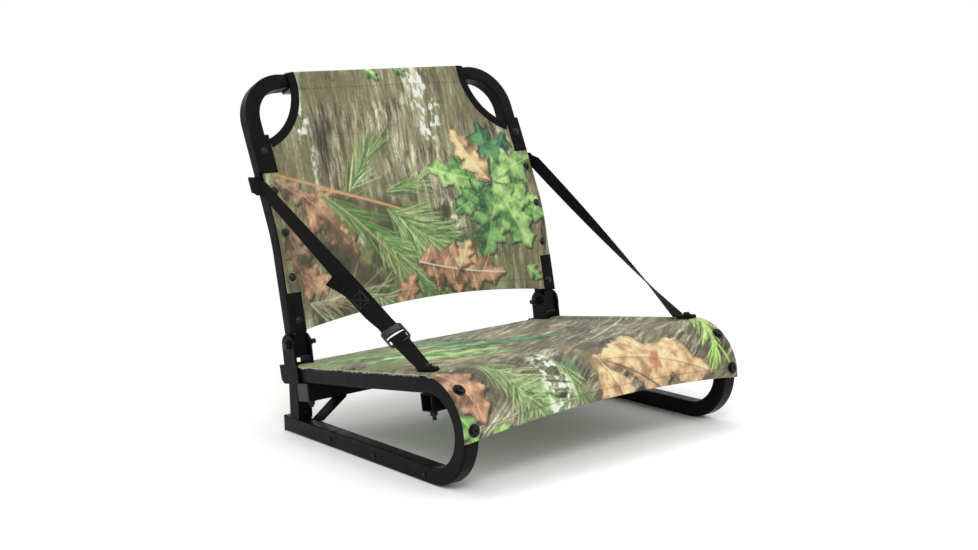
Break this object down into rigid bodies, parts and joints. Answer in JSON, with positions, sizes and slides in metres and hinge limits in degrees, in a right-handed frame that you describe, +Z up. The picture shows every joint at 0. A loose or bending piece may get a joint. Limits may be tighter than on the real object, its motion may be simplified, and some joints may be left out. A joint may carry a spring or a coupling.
{
  "type": "folding ground seat",
  "caption": "Low folding ground seat with bent square-tube side frames, a stretched fabric seat and a hinged fabric back held by webbing check straps.",
  "frame": {"origin": "on the ground at the middle of the whole seat's footprint", "axes": "+Z up, +Y rearward, the sitter faces -Y, +X to the sitter's left"},
  "size_m": [0.5776, 0.606, 0.5715],
  "materials": {
    "powder_coat": "satin black powder coat",
    "black_zinc": "black oxide",
    "black_plastic": "moulded acetal",
    "nylon": "plain nylon",
    "camo_cloth": null,
    "webbing": "black polypropylene webbing"
  },
  "bodies": {
    "seat_frame": {"side_frame_right": "powder_coat", "side_frame_left": "powder_coat", "post_right": "powder_coat", "post_left": "powder_coat", "cross_beam_front": "powder_coat", "cross_beam_rear": "powder_coat", "brace_right": "powder_coat", "brace_left": "powder_coat", "hinge_bracket_right": "powder_coat", "hinge_bracket_left": "powder_coat", "runner_end_plugs": "black_plastic", "beam_end_plugs": "black_plastic", "runner_screws": "black_zinc", "post_screws": "black_zinc", "rear_beam_bolts": "black_zinc", "rear_beam_nuts": "black_zinc", "anchor_bolts": "black_zinc", "anchor_nuts": "black_zinc", "hinge_bolts": "black_zinc", "hinge_washers": "black_zinc", "hinge_nuts": "black_zinc", "seat_sling": "camo_cloth", "sling_screws": "black_zinc", "sling_washers": "black_zinc", "strap_tab_right": "webbing", "strap_tab_left": "webbing", "strap_right_upper": "webbing", "strap_left": "webbing"},
    "backrest": {"back_frame": "powder_coat", "hinge_sleeves": "nylon", "upright_plugs": "black_plastic", "back_sling": "camo_cloth", "corner_bindings": "webbing", "back_patches": "webbing", "back_rivets": "black_zinc", "strap_loop_right": "webbing", "strap_loop_left": "webbing"},
    "strap_link": {"strap_right_lower": "webbing", "ladder_lock": "black_plastic"}
  },
  "joints": [
    {"name": "backrest_fold", "type": "hinge", "parent": "seat_frame", "child": "backrest", "pos_m": [0, 0.14705, 0.14522], "axis": [1, 0, 0], "range_deg": [0, 92], "deforming": ["strap_right_upper", "strap_left"]},
    {"name": "strap_heel", "type": "hinge", "parent": "seat_frame", "child": "strap_link", "pos_m": [-0.262, -0.1849, 0.162], "axis": [1, 0, 0], "range_deg": [-24.2, 0]}
  ],
  "couplings": [
    {"joint": "strap_heel", "follows": "backrest_fold", "ratio": -0.258}
  ]
}
